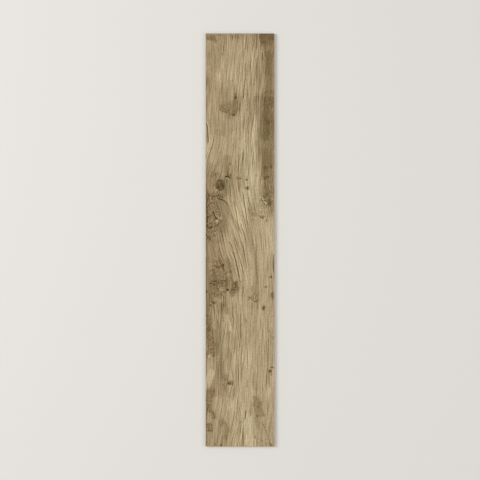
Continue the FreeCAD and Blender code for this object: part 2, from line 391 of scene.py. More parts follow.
# Knots and specks
# Dark hearts of branches, cut across, and the small resin specks round them.
# The main knot is a round heart with a sharp rim, a little taller than wide.
KNOT_MIDDLE = (43, 440.5)
KNOT_HALF = (13, 15.5)    # half its width and half its height
KNOT_TONE = 38.0
KNOT_EDGE = (1.22, 0.84)  # where it starts and where it is dark in full, in shares of its half size
KNOT_RIM = 0.9            # where its dark rim runs
RIM_TONE = 3
PITH_TONE = 8
knot_x = (across - KNOT_MIDDLE[0]) / KNOT_HALF[0]
knot_y = (down - KNOT_MIDDLE[1]) / KNOT_HALF[1]
knot_reach = np.hypot(knot_x, knot_y) + 0.14 * random_field(across, down, 6, 6, seed=22)
in_knot = smooth_step(*KNOT_EDGE, knot_reach)
busy *= 1 - 0.8 * in_knot
tone += in_knot * (KNOT_TONE - BASE_TONE - 0.6 * (tone - BASE_TONE))
pith = random_field(across, down, 4.5, 4.8, seed=25) + 0.5 * random_field(across, down, 8, 9, seed=26)
tone += PITH_TONE * in_knot * pith
warmth -= 0.25 * in_knot
tone -= RIM_TONE * smooth_step(0.25, 0.05, np.abs(knot_reach - KNOT_RIM))

# The other knots, the specks, and the few bright spots: (across, down, half across, half along, tone).
SPOTS = {
    "top end": (
        (10, 16, 5, 4, -5), (187, 14, 6, 5, -2), (168, 26, 6, 4, -5), (198, 14, 4, 8, -4),
        (48, 60, 4, 4, -5), (12, 90, 3, 4, -4), (0, 88, 3, 4, -6),
    ),
    "upper knot": (
        (86.5, 186, 4.5, 6, -14), (86, 177, 4, 5, -7), (81.5, 236, 4, 3.5, -16), (74, 236, 4, 4, -4),
        (87, 228, 4, 6, -4), (83, 210, 5, 2.5, -3), (94, 222, 4, 5, -3),
    ),
    "main knot": (
        (37, 447, 5, 4, -1), (50, 444, 4, 6, -7), (46, 432, 4, 3, -3), (43, 440, 4, 3, 2),
        (71, 380, 3, 4, -9), (61, 405, 3, 3, -2), (29, 410, 3, 6, -9), (37, 407, 4, 4, -6),
        # The pale spot at 62 across, 421 down, just below the knot arch, is a painted highlight that goes
        # with the arch's lip.
        (24, 441, 3, 4, -7), (70.5, 412, 4, 4.5, -9), (62, 421, 2.5, 2.5, 4), (32, 455, 4.5, 3, 7),
        (51, 457, 3, 2.5, 4), (58, 455, 4, 2, -5),
    ),
    "right of the main knot": (
        (121.5, 449.5, 4.8, 4.8, -23), (119, 425, 3, 3, -26), (119, 417, 3, 3, -6), (148, 412, 4, 4, -7),
        (180, 416, 5, 3, -9), (171, 422, 6, 4, -4), (190, 385, 4, 5, -6), (176, 390, 5, 5, -5),
    ),
    "left swirl": (
        (4, 502, 4, 6, -5), (8, 532, 4, 5, -6), (31, 538, 4.5, 4, -7), (24, 524, 3, 6, -5),
        (5, 561, 5, 5, -5), (17, 560, 6, 3.5, -7), (11, 566, 4, 4, -3), (30, 555, 4, 3, -4),
        (33, 545, 3.2, 3.2, 19), (44, 536, 4.4, 3.4, 14), (32, 552, 3, 3, 3), (44, 569, 3, 8, -2),
    ),
    "right swirl": (
        (178, 468, 4, 4, -9), (172, 476, 5, 4, -7), (184, 486, 4, 6, -9), (187, 496, 5, 3, -8),
        (192, 515, 7, 7, -4), (143, 512, 3, 5, -7), (128, 513, 3, 5, -6), (137, 540, 2.5, 5, -7),
        (164, 533, 8, 3.5, -8), (178, 545, 3, 4, -5),
    ),
    "second swirl": (
        (52, 673, 2.4, 2.4, -31), (38, 678, 9, 4, -6), (73, 692, 5, 4, -7), (23, 690, 3, 4, -4),
        (26, 700, 4, 4, -4), (35, 742, 4, 3.5, -7), (64, 745, 3.0, 3.0, -34), (56, 751, 4, 3, -6),
        (23, 732, 4, 3, -4), (90, 735, 5, 4, -4), (85, 743, 4, 5, -5), (87, 725, 5, 3, -3),
        (3, 750, 4, 4, -7), (46, 742, 6, 5, 8), (40, 655, 3, 3, -2), (46, 659, 3, 3, -2),
        (68, 700, 5, 5, 5), (60, 705, 5, 4, 4), (75, 725, 5, 5, 4), (46, 758, 3, 6, -3),
        (30, 770, 6, 6, 3),
    ),
    "star and the specks round it": (
        (190, 707, 3.5, 3.5, -17), (184, 710, 3, 3, -4), (176, 736, 4, 3, -15), (185, 735, 3, 6, -4),
        (169, 797, 4.5, 6, -20), (193, 759, 6, 6, -7), (196, 768, 3, 3, -7), (128, 768, 5, 3, -3),
        (145, 778, 6, 3, -5), (136, 768, 4, 6, -3), (118, 835, 3, 5, -5), (133, 815, 2.5, 6, -5),
    ),
    "left side, below the second swirl": (
        (25, 782, 7, 4, -12), (13, 789, 4, 4, -10), (12, 779, 3, 5, -4), (15, 784, 2.5, 3, 9),
        (26, 790, 3, 6, 5), (52, 790, 4, 5, -3), (3, 820, 4, 5, -6), (4, 840, 3, 8, -5),
        (12, 863, 5, 3, -5), (22, 860, 4, 3, -4), (28, 868, 4, 3, -3), (12, 893, 3, 3, -6),
        (22, 897, 4, 3, -6), (14, 884, 9, 7, -3), (3, 925, 4, 4, -6), (5, 933, 4, 4, -7),
        (4, 942, 3, 4, -6), (24, 936, 3, 5, -4), (12, 937, 5, 6, 9), (15, 917, 4, 4, -3),
        (48, 936, 4, 10, -3), (10, 905, 6, 5, -3),
    ),
    "right side, below the star": (
        (186, 865, 3, 5, -6), (195, 882, 5, 5, -5),
    ),
    "low knot": (
        (67.5, 1016.5, 5, 5, -15), (76, 1014, 5.5, 7, -11), (76, 1020, 4, 3, -5), (52, 1020, 4, 4, -4),
        (56, 1030, 3, 2, -6), (62, 1005, 4, 3, -5), (24, 1036, 3, 5, -5), (24, 1052, 6, 5, -3),
    ),
    "low speck": (
        (187, 981, 4.5, 4.5, -22), (190, 991, 4, 3, -6), (194, 970, 6, 2.5, -8),
    ),
    "bottom left": (
        (12, 1097, 5, 4, -5), (21, 1105, 6, 4, -5), (10, 1111, 2.5, 2.5, -6), (26, 1115, 5, 5, -5),
        (10, 1080, 4, 4, -4), (10, 1137, 9, 3, -2), (11, 1154, 10, 2, -8), (55, 1131, 6, 6, -4),
        (65, 1151, 4, 8, -4), (58, 1172, 4, 4, -2), (72, 1156, 3, 6, -5), (45, 1196, 3, 3.5, -26),
        (47, 1190, 3, 5, -7), (27, 1192, 4, 3, -7), (35, 1197, 6, 2, -5), (98, 1191, 3, 7, -2),
        (3, 1188, 3, 6, -6),
    ),
    "bottom right": (
        (118, 1197, 3, 3, -7), (158, 1074, 3, 5, -3), (154, 1085, 3, 4, -3), (148, 1110, 5, 4, -2),
        (171, 1110, 4, 6, -3), (101, 1130, 3, 6, -7), (143, 1173, 3, 4, -6), (147, 1177, 4, 3, -5),
        (140, 1190, 3, 5, -3), (160, 1181, 5, 6, -3), (163, 1198, 5, 3, -6), (190, 1195, 3.5, 6, -8),
    ),
}
SPOT_STRENGTH = 1.45
SPOT_EDGE = (1.4, 0.55)   # where a spot starts and where it is reached in full, in shares of its half size
DEEPEST_SPOT = 20         # tone from which on a dark spot is pressed to the full depth
wobble = 0.20 * random_field(across, down, 3.2, 3.6, seed=11)
wobble += 0.15 * random_field(across, down, 7, 9, seed=12)
hollows = np.zeros(across.shape)
for group in SPOTS.values():
    for x, y, half_across, half_along, spot_tone in group:
        reach = np.hypot((across - x) / half_across, (down - y) / half_along) + wobble
        inside = smooth_step(*SPOT_EDGE, reach)
        tone += SPOT_STRENGTH * spot_tone * inside
        hollows = np.maximum(hollows, np.clip(-spot_tone / DEEPEST_SPOT, 0, 1) * inside)


# Checks
# Drying cracks that open along the fibres: a thin dark gap of painted shade with a lighter lip of painted
# highlight along one side, as if lit from the left, the shading that the tile's print carries over its
# pressed hollow.
# The lip is right of a line that is drawn downwards, and above a line that is drawn to the right.
# Each is (half width, tone, points of its line).
CHECKS = {
    "left edge": (1.5, 15, ((0, 257), (4, 264), (6.5, 276), (7, 320))),
    "left diagonal": (1.2, 13, ((5, 378), (7, 362), (11, 350), (17, 332), (23, 315), (24, 300))),
    "top": (1.1, 10, ((79, 6), (79, 23))),
    "upper, first": (1.1, 7, ((118, 84), (117, 112), (114, 146))),
    "upper, second": (1.0, 11, ((133, 76), (131, 98), (128, 122))),
    "upper, third": (1.2, 15, ((114, 138), (111, 165), (109, 195))),
    "upper, fourth": (1.2, 11, ((166, 56), (167, 78))),
    "upper, fifth": (1.1, 9, ((151, 28), (149, 44))),
    "upper, sixth": (1.0, 8, ((138, 32), (136, 52))),
    "upper, seventh": (1.0, 7, ((106, 84), (105, 103))),
    "upper knot, arc": (1.5, 7, ((41, 217), (47, 226), (56, 228), (64, 231))),
    "upper knot, lower arc": (1.8, 2, ((76, 240), (84, 240), (89, 233))),
    "beside the band": (1.5, 6, ((139, 243), (135, 268), (131, 302))),
    "middle, first": (1.3, 8, ((97, 352), (97, 382), (93, 404))),
    "middle, second": (1.0, 5, ((39, 372), (38, 402))),
    "middle, third": (1.0, 7, ((141, 344), (140, 366))),
    "band, low": (1.0, 6, ((172, 384), (171, 408))),
    "knot arch": (1.7, 26, ((71, 419), (67, 417), (63.5, 415.5), (60, 416.5), (56.5, 419))),
    "swirl, upper arc": (1.3, 9, ((8, 470), (17, 473), (27, 472), (43, 468))),
    "swirl arc": (1.3, 13, ((32, 476), (40, 481), (48, 483), (55, 486), (62, 493), (68, 503))),
    "swirl arc, end": (1.2, 9, ((68, 503), (69, 512), (67, 524))),
    "swirl, left": (1.3, 7, ((4, 476), (3.5, 505), (6, 530), (4, 562))),
    "swirl, small arc": (1.2, 10, ((7, 501), (13, 495), (19, 491))),
    "swirl, heart": (1.6, 11, ((23, 516), (26, 530), (33, 540))),
    "swirl, low": (1.4, 8, ((8, 565), (22, 562), (36, 555), (46, 545))),
    "swirl, tail": (1.3, 10, ((-1, 577), (6, 590), (14, 603))),
    "swirl, second tail": (1.0, 6, ((8, 586), (17, 597), (25, 610))),
    "slant, first": (1.3, 12, ((82, 486), (87, 505), (90, 525), (92, 545), (95, 560), (100, 580))),
    "slant, second": (1.2, 11, ((107, 455), (112, 482), (114, 502), (117, 522), (120, 545), (126, 563))),
    "slant, third": (1.2, 11, ((103, 553), (109, 573), (115, 592), (119, 607))),
    "slant, fourth": (1.0, 8, ((105, 512), (109, 522), (113, 549))),
    "long check": (1.6, 14, (
        (67, 602), (74, 615), (80, 630), (84, 645), (88, 661), (92, 680), (96, 697), (99, 716),
    )),
    "long check, left fork": (1.2, 7, ((98, 716), (92, 722), (86, 730))),
    "long check, right fork": (1.2, 10, ((99, 716), (104, 721), (107, 727))),
    "beside the long check, first": (1.2, 10, ((108, 610), (112, 635), (116, 660), (120, 686))),
    "beside the long check, second": (1.2, 11, ((102, 660), (106, 680), (110, 698))),
    "beside the long check, third": (1.1, 9, ((111, 733), (110, 755))),
    "right swirl": (1.3, 10, ((162, 485), (168, 491), (174, 499), (180, 508))),
    "right swirl, cross": (1.2, 7, ((177, 498), (187, 492), (198, 484))),
    "right swirl, low": (1.4, 6, ((154, 526), (159, 533), (166, 535), (175, 532))),
    "right swirl, tail": (1.2, 9, ((180, 538), (177, 545), (173, 550))),
    "second swirl, curve": (2.8, 3, ((28, 678), (38, 680), (47, 676))),
    "second swirl, first line": (1.3, 10, ((16, 718), (24, 719), (33, 718))),
    "second swirl, second line": (1.3, 9, ((40, 717), (52, 716), (61, 721))),
    "second swirl, third line": (1.3, 10, ((9, 728), (20, 727), (32, 728))),
    "second swirl, tail": (1.2, 5, ((26, 752), (32, 757), (40, 763))),
    "second swirl, right tail": (1.2, 4, ((51, 762), (56, 776), (58, 792))),
    "star, first ray": (1.0, 11, ((143, 752), (140, 766), (138, 776))),
    "star, second ray": (1.2, 11, ((136, 777), (146, 778), (153, 776))),
    "star, third ray": (1.0, 9, ((121, 777), (130, 768), (138, 760))),
    "star, fourth ray": (1.0, 8, ((142, 772), (149, 762), (151, 752))),
    "star, fifth ray": (1.0, 5, ((141, 776), (136, 786), (134, 800))),
    "star, sixth ray": (1.0, 4, ((146, 780), (150, 790), (152, 802))),
    "star, seventh ray": (1.0, 8, ((122, 764), (130, 768), (138, 774))),
    "low, first": (1.2, 9, ((75, 826), (77, 854))),
    "low, second": (1.1, 9, ((102, 842), (102, 888))),
    "low, third": (1.1, 8, ((31, 818), (36, 842))),
    "low, fourth": (1.1, 4, ((49, 820), (55, 838))),
    "low, fifth": (1.1, 8, ((90, 780), (90, 822))),
    "low, sixth": (1.4, 11, ((184, 878), (182, 930), (181, 968), (177, 1000), (175, 1042))),
    "low, seventh": (1.0, 8, ((152, 962), (152, 998))),
    "low, eighth": (1.0, 8, ((89, 982), (88, 1012))),
    "low, ninth": (1.0, 8, ((122, 1006), (122, 1032))),
    "low, tenth": (1.0, 8, ((137, 1006), (137, 1026))),
    "spot arc": (1.2, 9, ((186, 973), (193, 968), (200, 971))),
    "low knot, arc": (1.1, 5, ((66, 1006), (72, 1009), (80, 1012))),
    "bottom, first": (1.8, 16, ((117, 1094), (116, 1108), (115, 1123))),
    "bottom, second": (1.2, 9, ((111, 1120), (110, 1146), (108, 1176))),
    "bottom, third": (1.1, 5, ((94, 1055), (92, 1088))),
    "bottom, fourth": (1.0, 9, ((50, 1060), (50, 1076))),
    "bottom right": (1.4, 4, ((164, 1131), (168, 1137), (172, 1146))),
    "bottom right, end": (2.0, 7, ((186, 1184), (190, 1200))),
}


def smooth_line(points, rounds=2):
    """The points of a line with its corners cut, so that it bends instead of kinking."""
    line = np.array(points, float)
    for _ in range(rounds):
        if len(line) < 3:
            break
        first = line[:-1] * 0.75 + line[1:] * 0.25
        second = line[:-1] * 0.25 + line[1:] * 0.75
        inner = np.stack([first, second], axis=1).reshape(-1, 2)[1:-1]
        line = np.vstack([line[:1], inner, line[-1:]])
    return line


# The lines tremble a little, as fibres do.
shaken_across = across + 0.7 * random_field(across, down, 9, 11, seed=13)
shaken_down = down + 1.5 * random_field(across, down, 9, 11, seed=14)


def line_distance(points):
    """Each face point's distance from a line, its side of it (1 is right) and its share along it."""
    line = smooth_line(points)
    steps = np.diff(line, axis=0)
    lengths = np.hypot(steps[:, 0], steps[:, 1])
    nearest = np.full(across.shape, np.inf)
    side = np.zeros(across.shape)
    share = np.zeros(across.shape)
    walked = 0.0
    for (x0, y0), (step_x, step_y), length in zip(line, steps, lengths):
        off_x, off_y = shaken_across - x0, shaken_down - y0
        part = np.clip((off_x * step_x + off_y * step_y) / length ** 2, 0, 1)
        distance = np.hypot(off_x - part * step_x, off_y - part * step_y)
        closer = distance < nearest
        nearest = np.where(closer, distance, nearest)
        side = np.where(closer, np.sign(off_x * step_y - off_y * step_x), side)
        share = np.where(closer, (walked + part * length) / lengths.sum(), share)
        walked += length
    return nearest, side, share


# Each face point keeps its distance from the nearest check, counted in half widths of that check.
# A check's tone is the strength of the painted shade in its gap, and of the painted highlight on its lip.
CHECK_STRENGTH = 1.75
FAR_OFF = 6.0             # the distance that is kept away from every check
CHECK_FADE = (4.5, 2.5)   # distance beyond which a check has no tone, and within which it has all of it
check_side = np.full(across.shape, FAR_OFF)
check_shade_tone = np.zeros(across.shape)
for half_width, line_tone, points in CHECKS.values():
    distance, side, share = line_distance(points)
    taper = smooth_step(-0.02, 0.08, share) * smooth_step(1.02, 0.86, share)
    widths = distance / half_width
    nearer = (widths < np.abs(check_side)) & (taper > 0)
    check_side = np.where(nearer, side * widths, check_side)
    faded = CHECK_STRENGTH * line_tone * taper * smooth_step(*CHECK_FADE, widths)
    check_shade_tone = np.where(nearer, faded, check_shade_tone)


# Light and dark fibres
# Single fibres that stand out from the rest, bleached or stained, drawn as soft lines.
# Each is (half width, tone, points of its line).
FIBRES = {
    "top end": (
        (2.0, 6, ((158, 12), (155, 40), (152, 68))), (1.3, 6, ((52, 16), (52, 36))),
        (1.3, 5, ((30, 42), (30, 57))), (1.4, 6, ((140, 40), (140, 52))),
        (1.4, 5, ((114, 14), (113, 44))), (1.5, -7, ((0, 32), (0, 58))), (1.3, -8, ((44, 29), (44, 45))),
        (1.2, -4, ((17, 44), (17, 72))), (1.2, -7, ((157, 8), (154, 26))),
        (1.6, -5, ((110, 46), (108, 80))), (1.8, 5, ((118, 14), (117, 44))),
    ),
    "above the upper knot": (
        (2.2, 6, ((49, 88), (46, 100), (44, 112), (39, 128), (35, 140))), (1.6, 5, ((73, 95), (73, 139))),
        (1.4, 6, ((112, 106), (110, 130), (110, 152))), (1.3, 6, ((131, 118), (129, 152))),
        (1.6, 6, ((167, 108), (164, 140), (160, 182))), (1.2, 5, ((62, 146), (62, 168))),
        (1.3, -5, ((70, 98), (70, 138))), (1.6, -4, ((103, 108), (101, 145))),
        (1.2, -6, ((163, 108), (163, 128))), (1.4, -6, ((160, 132), (159, 154))),
        (1.2, -6, ((132, 138), (130, 154))), (1.3, -5, ((58, 78), (58, 104))),
        (1.3, -4, ((148, 108), (148, 138))),
    ),
    "beside the upper knot": (
        (1.5, 5, ((107, 222), (105, 258))), (4.2, 3.5, ((146, 232), (143, 262), (139, 300), (136, 330))),
        (1.6, 7, ((82, 280), (79, 306))), (1.5, 4, ((14, 196), (12, 256))),
        (1.4, 5, ((11, 262), (10, 318))), (1.5, -5, ((6, 176), (6, 198))),
        (1.3, -5, ((15, 212), (15, 254))), (1.5, -5, ((32, 262), (32, 288))),
        (2.2, -10, ((125, 236), (122, 296))), (1.3, -6, ((117, 286), (117, 318))),
        (1.2, -6, ((61, 292), (60, 308))), (1.3, -6, ((190, 230), (190, 262))),
        (1.4, -6, ((170, 236), (168, 272))), (1.8, 6, ((124, 176), (123, 218))),
        (1.8, -7, ((75, 178), (74, 204))),
    ),
    "above the main knot": (
        (1.5, 5, ((20, 304), (15, 330))), (1.2, 6, ((94, 354), (93, 382))),
        (1.3, 6, ((144, 346), (143, 368))), (1.2, 5, ((60, 318), (58, 336))),
        (1.2, 5, ((99, 308), (98, 332))), (1.3, -5, ((48, 326), (44, 354))),
        (1.3, -3, ((67, 322), (64, 348))), (1.2, -3, ((88, 316), (87, 338))),
        (2.2, 6, ((86, 374), (83, 410))), (1.5, 5, ((104, 338), (103, 376))),
        (1.3, -2, ((109, 336), (108, 378))), (1.4, -8, ((121, 338), (119, 376))),
        (1.2, -6, ((63, 352), (62, 374))), (1.3, -8, ((140, 432), (141, 470), (142, 512))),
    ),
    "beside the swirls": (
        (1.4, 5, ((151, 448), (151, 470))), (1.6, 6, ((100, 448), (103, 470))),
        (1.8, 6, ((85, 490), (91, 512), (95, 535), (98, 555), (103, 575), (107, 592), (110, 606))),
        (1.4, 5, ((118, 470), (118, 505))), (1.3, 6, ((111, 500), (114, 520), (114, 532))),
        (1.6, 10, ((157, 505), (163, 515), (170, 523), (174, 529))), (1.4, 6, ((150, 484), (154, 498))),
        (1.6, 6, ((181, 537), (190, 536), (198, 538))), (1.2, -6, ((94, 446), (95, 458))),
    ),
    "beside the long check": (
        (2.4, 8, ((135, 684), (136, 706), (135, 734))), (1.6, 5, ((78, 622), (83, 640))),
        (1.2, 5, ((99, 664), (103, 684))), (1.8, -9, ((106, 688), (111, 724))),
        (1.2, -6, ((160, 584), (160, 598))), (1.2, -4, ((187, 562), (187, 578))),
        (1.9, -7, ((146, 612), (147, 650), (150, 690), (151, 746))), (1.3, -4, ((128, 626), (130, 648))),
        (1.6, 6, ((45, 576), (47, 602))), (1.6, 6, ((45, 654), (46, 684))),
        (2.2, 9, ((53, 679), (56, 687), (58, 696))),
    ),
    "below the second swirl": (
        (3.0, 5, ((65, 814), (68, 836), (71, 868))), (1.5, 6, ((55, 832), (57, 872))),
        (1.6, 6, ((63, 816), (65, 842))), (1.4, 7, ((82, 858), (82, 878))),
        (1.2, 5, ((38, 858), (38, 878))), (1.3, 5, ((88, 762), (88, 786))),
        (2.0, 6, ((104, 738), (104, 792))), (1.3, -5, ((128, 800), (126, 828))),
        (1.3, -5, ((160, 830), (161, 864))), (1.2, -5, ((140, 850), (140, 874))),
        (1.6, 6, ((53, 836), (54, 862))),
    ),
    "beside the pale lens": (
        (1.8, 5, ((126, 895), (126, 962))), (1.4, 4, ((108, 922), (108, 955))),
        (1.5, 4, ((86, 915), (86, 962))), (1.8, 5, ((198, 960), (198, 1034))),
        (1.5, 5, ((24, 980), (20, 1002), (15, 1020))), (1.3, 4, ((188, 862), (190, 872))),
        (1.5, -6, ((90, 902), (90, 955))), (1.4, -5, ((105, 902), (105, 935))),
        (1.4, -5, ((95, 990), (95, 1010))), (1.6, 6, ((134, 976), (134, 1002))),
    ),
    "round the low knot": (
        (1.5, 5, ((187, 1026), (189, 1048))), (3.0, 11, ((64, 1052), (66, 1100))),
        (1.6, 5, ((126, 1054), (125, 1098))), (1.5, 5, ((103, 1052), (102, 1072))),
        (1.3, 5, ((46, 1058), (46, 1072))), (1.4, -6, ((107, 1036), (107, 1054))),
        (1.5, -5, ((146, 1030), (146, 1062))), (1.5, 5, ((165, 1030), (165, 1062))),
    ),
    "bottom end": (
        (1.8, 8, ((107, 1126), (103, 1184))), (1.6, 5, ((128, 1110), (128, 1124))),
        (2.0, 5, ((94, 1100), (93, 1150))), (1.4, -4, ((118, 1146), (118, 1184))),
        (2.0, 6, ((165, 1156), (165, 1182))), (2.0, 6, ((145, 1176), (145, 1199))),
        (2.0, 7, ((104, 1160), (103, 1198))), (1.8, 5, ((35, 1158), (35, 1182))),
        (1.8, 5, ((65, 1138), (65, 1162))), (1.2, -5, ((48, 1166), (48, 1190))),
        (1.6, 6, ((82, 1098), (78, 1140))), (1.3, -5, ((38, 1100), (38, 1130))),
    ),
}
FIBRE_EDGE = (1.9, 0.3)   # where a fibre starts and where it is reached in full, in half widths
for group in FIBRES.values():
    for half_width, fibre_tone, points in group:
        distance, _, share = line_distance(points)
        taper = smooth_step(0, 0.15, share) * smooth_step(1, 0.85, share)
        tone += fibre_tone * taper * smooth_step(*FIBRE_EDGE, distance / half_width)


# The pressed relief
# The steel punch that presses the face carries the same grain, so checks, knots and fibres are real hollows.
# They are shallow, about half a millimetre at most, so that the floor is easy to walk on and to wipe.
GRAIN_DEPTH = 0.14
CHECK_DEPTH = 0.40
KNOT_DEPTH = 0.35
CURL_DEPTH = 0.12
DEEPEST = 0.55            # where hollows meet, they go no deeper than this
CHECK_MOUTH = (1.8, 0.4)  # where the hollow of a check starts and where it is deepest, in half widths
DEEPEST_CHECK = 14        # tone from which on a check is pressed to the full depth
gaps = smooth_step(*CHECK_MOUTH, np.abs(check_side)) * np.clip(check_shade_tone / DEEPEST_CHECK, 0, 1)
relief = GRAIN_DEPTH * (0.5 - 0.5 * streaks) + CHECK_DEPTH * gaps + KNOT_DEPTH * hollows
relief += CURL_DEPTH * burl_share * (0.5 - 0.5 * curls)
relief = np.clip(relief - relief.min(), 0, DEEPEST)

# The back
# A waffle of shallow recesses in the same porcelain, pressed by the lower punch, for the adhesive to fill.
# Their walls lean, so that the punch comes away, and the tile lies on the ribs between them.
KEY_BORDER = 8.0
KEY_RIB = 3.0
KEY_DEPTH = 0.5
KEY_DRAFT = math.radians(30)
KEYS_ACROSS = 6
KEYS_ALONG = 38
key_inset = KEY_DEPTH * math.tan(KEY_DRAFT)


def rib_lines(side, count):
    """Both edges of each recess along one side, measured from its start."""
    pitch = (side - 2 * KEY_BORDER + KEY_RIB) / count
    starts = KEY_BORDER + pitch * np.arange(count)
    return np.stack([starts, starts + pitch - KEY_RIB], axis=1).ravel()


# The tile in one mesh
# Face, arris, ground sides, plain margin of the back and waffle are one piece of fired porcelain.
# They share their edges, so the mesh is closed, and each polygon is printed, ground or bare as fired.
point_blocks = []
polygons = []
polygon_finish = []
polygon_map = []
PRINTED, GROUND, FIRED = range(3)

# The bake map: the printed face fills most of the square, and the rest lies in strips below it.
FACE_BELOW = 0.16
BACK_STRIP = (0.03, 0.14)
SIDE_STRIP = (0.005, 0.021)
ARRIS_STRIP = (0.021, 0.025)


def add_points(x, y, z):
    """Adds points, in millimetres from the top left corner and the floor, and returns their numbers."""
    x, y, z = np.broadcast_arrays(x, y, z)
    first = sum(len(block) for block in point_blocks)
    flat = np.stack([(x - WIDTH / 2).ravel(), (LENGTH / 2 - y).ravel(), z.ravel()], axis=1)
    point_blocks.append(flat * MM)
    return first + np.arange(x.size).reshape(x.shape)


def add_polygon(corners, finish, places):
    """Adds one polygon with its finish and its places on the bake map."""
    polygons.append([int(corner) for corner in corners])
    polygon_finish.append(finish)
    polygon_map.extend(places)


def face_place(x, y):
    """Place of a point of the face on the bake map."""
    return (x / WIDTH, FACE_BELOW + (1 - FACE_BELOW) * (1 - y / LENGTH))


def back_place(x, y):
    """Place of a point of the back on the bake map."""
    low_v, high_v = BACK_STRIP
    return (y / LENGTH, low_v + (high_v - low_v) * x / WIDTH)


face = add_points(across, down, THICKNESS - relief)
for row in range(FACE_ROWS):
    for column in range(FACE_COLUMNS):
        cell = ((row + 1, column), (row + 1, column + 1), (row, column + 1), (row, column))
        add_polygon([face[k] for k in cell], PRINTED, [face_place(across[k], down[k]) for k in cell])

# The rim of the face, walked round anticlockwise as seen from above.
rim = [(row, 0) for row in range(FACE_ROWS)]
rim += [(FACE_ROWS, column) for column in range(FACE_COLUMNS)]
rim += [(row, FACE_COLUMNS) for row in range(FACE_ROWS, 0, -1)]
rim += [(0, column) for column in range(FACE_COLUMNS, 0, -1)]
rim_x = np.array([across[k] for k in rim])
rim_y = np.array([down[k] for k in rim])
outer_x = np.where(rim_x <= ARRIS, 0, np.where(rim_x >= WIDTH - ARRIS, WIDTH, rim_x))
outer_y = np.where(rim_y <= ARRIS, 0, np.where(rim_y >= LENGTH - ARRIS, LENGTH, rim_y))
face_edge = [face[k] for k in rim]
side_top = add_points(outer_x, outer_y, THICKNESS - ARRIS)
side_foot = add_points(outer_x, outer_y, 0)
walk = np.linspace(0, 1, len(rim) + 1)
bands = ((face_edge, side_top, ARRIS_STRIP), (side_top, side_foot, SIDE_STRIP))
for start in range(len(rim)):
    end = (start + 1) % len(rim)
    here, there = walk[start], walk[start + 1]
    for upper, lower, (low_v, high_v) in bands:
        corners = (upper[start], lower[start], lower[end], upper[end])
        add_polygon(corners, GROUND, [(here, high_v), (here, low_v), (there, low_v), (there, high_v)])

lines_x, lines_y = rib_lines(WIDTH, KEYS_ACROSS), rib_lines(LENGTH, KEYS_ALONG)
crest_x, crest_y = np.meshgrid(lines_x, lines_y)
crest = add_points(crest_x, crest_y, 0)


def add_back(ring):
    """Adds one polygon of the back from its corners, each (number, across, down)."""
    add_polygon([number for number, _, _ in ring], FIRED, [back_place(x, y) for _, x, y in ring])


for row in range(len(lines_y) - 1):
    for column in range(len(lines_x) - 1):
        cell = ((row, column), (row, column + 1), (row + 1, column + 1), (row + 1, column))
        mouth = [(crest[k], crest_x[k], crest_y[k]) for k in cell]
        if row % 2 or column % 2:
            add_back(mouth)
            continue
        floor_x = np.array([x for _, x, _ in mouth]) + key_inset * np.array([1, -1, -1, 1])
        floor_y = np.array([y for _, _, y in mouth]) + key_inset * np.array([1, 1, -1, -1])
        key_floor = list(zip(add_points(floor_x, floor_y, KEY_DEPTH), floor_x, floor_y))
        add_back(key_floor)
        for this in range(4):
            following = (this + 1) % 4
            add_back([mouth[this], mouth[following], key_floor[following], key_floor[this]])

# The plain margin is one polygon to each side, between the foot of that side and the outermost ribs.
last_row, last_column = len(lines_y) - 1, len(lines_x) - 1
left_foot = list(range(0, FACE_ROWS + 1))
bottom_foot = list(range(FACE_ROWS, FACE_ROWS + FACE_COLUMNS + 1))
right_foot = list(range(FACE_ROWS + FACE_COLUMNS, 2 * FACE_ROWS + FACE_COLUMNS + 1))
top_foot = list(range(2 * FACE_ROWS + FACE_COLUMNS, len(rim))) + [0]
margins = (
    (left_foot, [(row, 0) for row in range(last_row, -1, -1)]),
    (bottom_foot, [(last_row, column) for column in range(last_column, -1, -1)]),
    (right_foot, [(row, last_column) for row in range(last_row + 1)]),
    (top_foot, [(0, column) for column in range(last_column + 1)]),
)
for foot, inner in margins:
    ring = [(side_foot[k], outer_x[k], outer_y[k]) for k in foot]
    ring += [(crest[k], crest_x[k], crest_y[k]) for k in inner]
    add_back(ring[::-1])

tile_mesh = bpy.data.meshes.new("plank_tile_printed")
tile_mesh.from_pydata(np.vstack(point_blocks).tolist(), [], polygons)
tile_mesh.polygons.foreach_set("material_index", polygon_finish)
tile_mesh.polygons.foreach_set("use_smooth", [finish == PRINTED for finish in polygon_finish])
bake_map = tile_mesh.uv_layers.new(name="OFBake")
bake_map.data.foreach_set("uv", np.array(polygon_map, float).ravel())


def keep_on_points(name, kind, field, values):
    """Keeps a value of the print on every point of the face, for the glaze to read."""
    whole = np.zeros((len(tile_mesh.vertices),) + values.shape[2:], np.float32)
    whole[face.ravel()] = values.reshape((-1,) + values.shape[2:])
    tile_mesh.attributes.new(name, kind, "POINT").data.foreach_set(field, whole.ravel())


PERCENT = 0.01
keep_on_points("tone", "FLOAT", "value", tone * PERCENT)
keep_on_points("warmth", "FLOAT", "value", 0.5 + 0.5 * np.clip(warmth, -1, 1))
keep_on_points("check_side", "FLOAT", "value", np.clip(check_side, -FAR_OFF, FAR_OFF))
keep_on_points("check_shade_tone", "FLOAT", "value", check_shade_tone * PERCENT)
keep_on_points("grain", "FLOAT_VECTOR", "vector", np.stack([grain_across, fibre_down, busy], axis=2))
tile_mesh.validate()
tile_mesh.update()
tile = bpy.data.objects.new("plank_tile_printed", tile_mesh)
bpy.context.scene.collection.objects.link(tile)


# The printed glaze
# Ceramic inks, jetted on the pressed face and fired into it under a thin matte glaze.
# It looks dry, with a dull sheen on the high fibres and none in the pores.
def linear(hex_colour):
    """Linear colour of an sRGB hex value."""
    channels = [int(hex_colour[k:k + 2], 16) / 255 for k in (1, 3, 5)]
    return tuple(c / 12.92 if c <= 0.04045 else ((c + 0.055) / 1.055) ** 2.4 for c in channels) + (1,)


